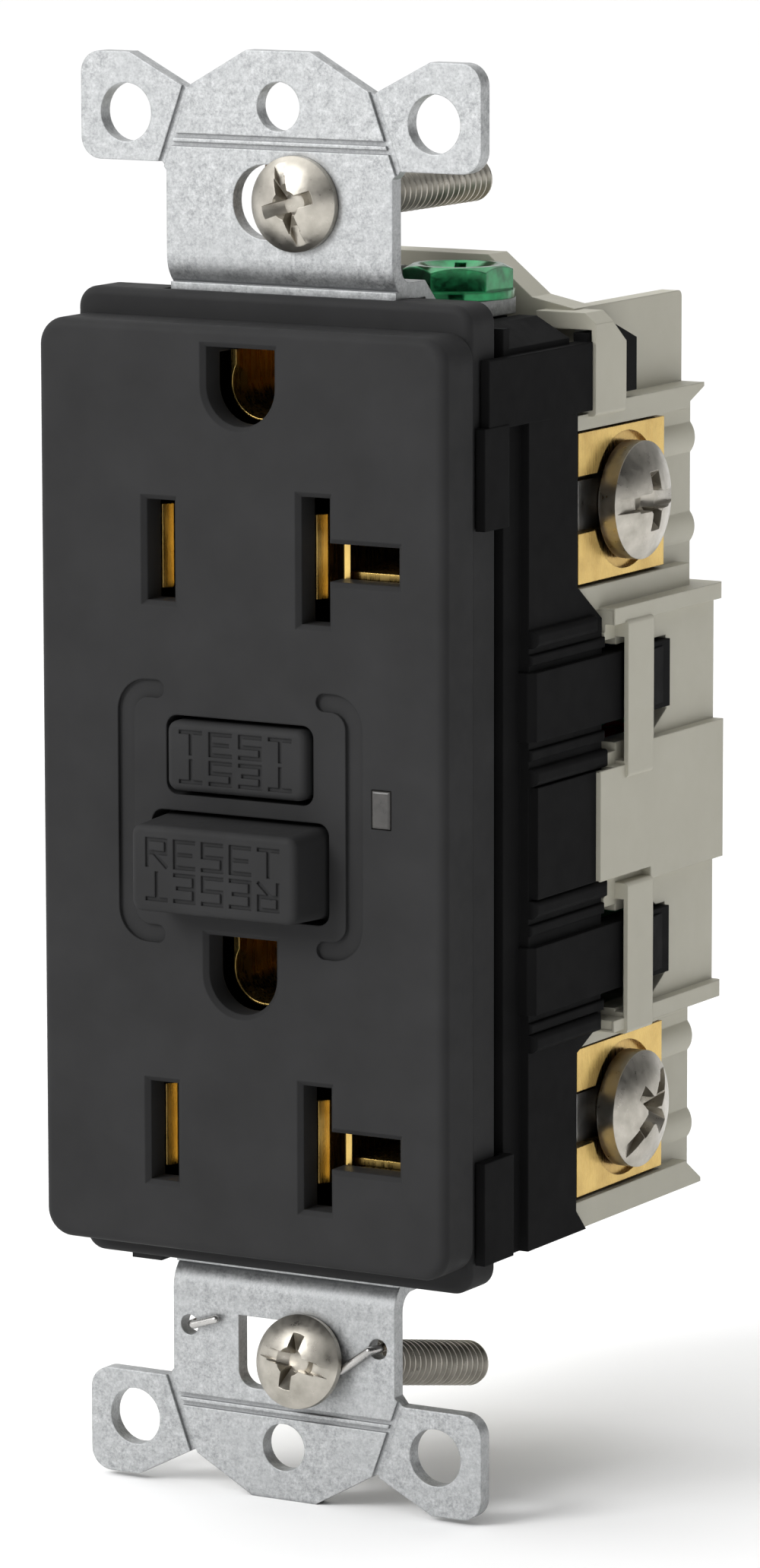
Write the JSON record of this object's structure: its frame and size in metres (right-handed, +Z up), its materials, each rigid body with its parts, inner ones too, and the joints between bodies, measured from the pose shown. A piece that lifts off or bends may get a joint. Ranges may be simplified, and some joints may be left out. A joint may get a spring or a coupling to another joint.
{
  "type": "gfci outlet",
  "caption": "Ground-fault receptacle with a rectangular black face, 20 A outlets, test and reset buttons, steel strap and side terminals on a beige rear housing.",
  "frame": {"origin": "middle of the device on the front plane of the mounting strap, halfway between the two tapped wall-plate holes", "axes": "+X right and +Z up seen from the front, -Y out of the face"},
  "size_m": [0.0376, 0.0434, 0.1046],
  "materials": {
    "black_plastic": "fine moulded texture",
    "beige_plastic": "satin moulded",
    "white_plastic": "satin moulded",
    "fibre": "pressed fibre board",
    "galvanised_steel": "zinc plated, faintly spangled",
    "nickel_screw": "nickel plated",
    "green_screw": "green plated",
    "brass": "stamped, slightly tarnished",
    "steel": "plain",
    "spring_steel": "drawn wire",
    "lens": "clear, slightly cloudy",
    "led": "tinted epoxy",
    "board": "solder resist",
    "copper_coil": "enamelled wire",
    "ferrite": "epoxy coated",
    "component": "moulded epoxy",
    "film_capacitor": "dipped resin",
    "varistor": "dipped resin",
    "resistor": "lacquered"
  },
  "bodies": {
    "root": {"circuit_board": "board", "coil_holder": "white_plastic", "controller_chip": "component", "face_cover": "black_plastic", "filter_capacitors": "film_capacitor", "front_housing": "black_plastic", "hot_contact_strip": "brass", "hot_line_conductor": "brass", "indicator_led": "led", "light_pipe": "lens", "line_hot_terminal": "brass", "line_neutral_terminal": "brass", "load_hot_terminal": "brass", "load_neutral_terminal": "brass", "lower_ground_contact": "brass", "mounting_strap": "galvanised_steel", "neutral_coil": "ferrite", "neutral_contact_strip": "brass", "neutral_line_conductor": "brass", "plunger_spring": "spring_steel", "rear_housing": "beige_plastic", "reset_spring": "spring_steel", "resistors": "resistor", "self_ground_clip": "spring_steel", "sensing_coil": "ferrite", "separator": "white_plastic", "silicon_switch": "component", "solenoid_bobbin": "white_plastic", "solenoid_frame": "steel", "solenoid_winding": "copper_coil", "surge_absorber": "varistor", "test_contact": "brass", "test_spring": "spring_steel", "upper_ground_contact": "brass"},
    "test_button": {"test_button": "black_plastic"},
    "reset_button": {"reset_button": "black_plastic", "reset_pin": "steel"},
    "carriage": {"contact_carriage": "white_plastic", "hot_bridge_contact": "brass", "neutral_bridge_contact": "brass"},
    "latch": {"latch_plate": "steel"},
    "plunger": {"plunger": "steel"},
    "upper_washer": {"upper_screw_washer": "fibre"},
    "lower_washer": {"lower_screw_washer": "fibre"},
    "upper_box_screw": {"upper_box_screw": "nickel_screw"},
    "lower_box_screw": {"lower_box_screw": "nickel_screw"},
    "ground_screw": {"ground_screw": "green_screw"},
    "load_hot_screw": {"load_hot_screw": "brass"},
    "load_hot_clamp": {"load_hot_clamp": "steel"},
    "load_neutral_screw": {"load_neutral_screw": "nickel_screw"},
    "load_neutral_clamp": {"load_neutral_clamp": "steel"},
    "line_hot_screw": {"line_hot_screw": "brass"},
    "line_hot_clamp": {"line_hot_clamp": "steel"},
    "line_neutral_screw": {"line_neutral_screw": "nickel_screw"},
    "line_neutral_clamp": {"line_neutral_clamp": "steel"}
  },
  "joints": [
    {"name": "test_press", "type": "slide", "parent": "root", "child": "test_button", "axis": [0, 1, 0], "range_m": [0, 0.001], "stiffness_N_per_m": 600, "springref_m": -0.002, "deforming": ["test_spring"]},
    {"name": "reset_press", "type": "slide", "parent": "root", "child": "reset_button", "axis": [0, 1, 0], "range_m": [0, 0.003], "stiffness_N_per_m": 400, "springref_m": -0.004, "deforming": ["reset_spring"]},
    {"name": "contact_lift", "type": "slide", "parent": "root", "child": "carriage", "axis": [0, -1, 0], "range_m": [0, 0.0011], "stiffness_N_per_m": 300, "springref_m": -0.002},
    {"name": "plunger_stroke", "type": "slide", "parent": "root", "child": "plunger", "axis": [0, 0, -1], "range_m": [0, 0.0015], "stiffness_N_per_m": 150, "springref_m": -0.003, "deforming": ["plunger_spring"]},
    {"name": "latch_slide", "type": "slide", "parent": "carriage", "child": "latch", "axis": [0, 0, -1], "range_m": [0, 0.0015]},
    {"name": "upper_screw_shift", "type": "slide", "parent": "root", "child": "upper_washer", "axis": [1, 0, 0], "range_m": [-0.0035, 0.0009]},
    {"name": "lower_screw_shift", "type": "slide", "parent": "root", "child": "lower_washer", "axis": [1, 0, 0], "range_m": [-0.0039, 0.0005]},
    {"name": "upper_screw_turn", "type": "hinge", "parent": "upper_washer", "child": "upper_box_screw", "pos_m": [0.0015, 0, 0.04165], "axis": [0, 1, 0], "continuous": true},
    {"name": "lower_screw_turn", "type": "hinge", "parent": "lower_washer", "child": "lower_box_screw", "pos_m": [0.0019, -0.00076, -0.04165], "axis": [0, 0.9781, -0.2079], "continuous": true},
    {"name": "ground_screw_turn", "type": "hinge", "parent": "root", "child": "ground_screw", "pos_m": [0.0075, 0.0124, 0.0343], "axis": [0, 0, 1], "range_deg": [0, 1080]},
    {"name": "load_hot_screw_turn", "type": "hinge", "parent": "root", "child": "load_hot_screw", "pos_m": [-0.0162, 0.0217, 0.0193], "axis": [-1, 0, 0], "range_deg": [0, 990]},
    {"name": "load_hot_clamp_slide", "type": "slide", "parent": "root", "child": "load_hot_clamp", "axis": [1, 0, 0], "range_m": [0, 0.00218]},
    {"name": "load_neutral_screw_turn", "type": "hinge", "parent": "root", "child": "load_neutral_screw", "pos_m": [0.0162, 0.0217, 0.0193], "axis": [1, 0, 0], "range_deg": [0, 990]},
    {"name": "load_neutral_clamp_slide", "type": "slide", "parent": "root", "child": "load_neutral_clamp", "axis": [-1, 0, 0], "range_m": [0, 0.00218]},
    {"name": "line_hot_screw_turn", "type": "hinge", "parent": "root", "child": "line_hot_screw", "pos_m": [-0.0162, 0.0217, -0.0255], "axis": [-1, 0, 0], "range_deg": [0, 990]},
    {"name": "line_hot_clamp_slide", "type": "slide", "parent": "root", "child": "line_hot_clamp", "axis": [1, 0, 0], "range_m": [0, 0.00218]},
    {"name": "line_neutral_screw_turn", "type": "hinge", "parent": "root", "child": "line_neutral_screw", "pos_m": [0.0162, 0.0217, -0.0255], "axis": [1, 0, 0], "range_deg": [0, 990]},
    {"name": "line_neutral_clamp_slide", "type": "slide", "parent": "root", "child": "line_neutral_clamp", "axis": [-1, 0, 0], "range_m": [0, 0.00218]}
  ],
  "couplings": [
    {"joint": "latch_slide", "follows": "plunger_stroke", "ratio": 1},
    {"joint": "load_hot_screw_turn", "follows": "load_hot_clamp_slide", "rad_per_m": 7915.8},
    {"joint": "load_neutral_screw_turn", "follows": "load_neutral_clamp_slide", "rad_per_m": 7915.8},
    {"joint": "line_hot_screw_turn", "follows": "line_hot_clamp_slide", "rad_per_m": 7915.8},
    {"joint": "line_neutral_screw_turn", "follows": "line_neutral_clamp_slide", "rad_per_m": 7915.8}
  ]
}
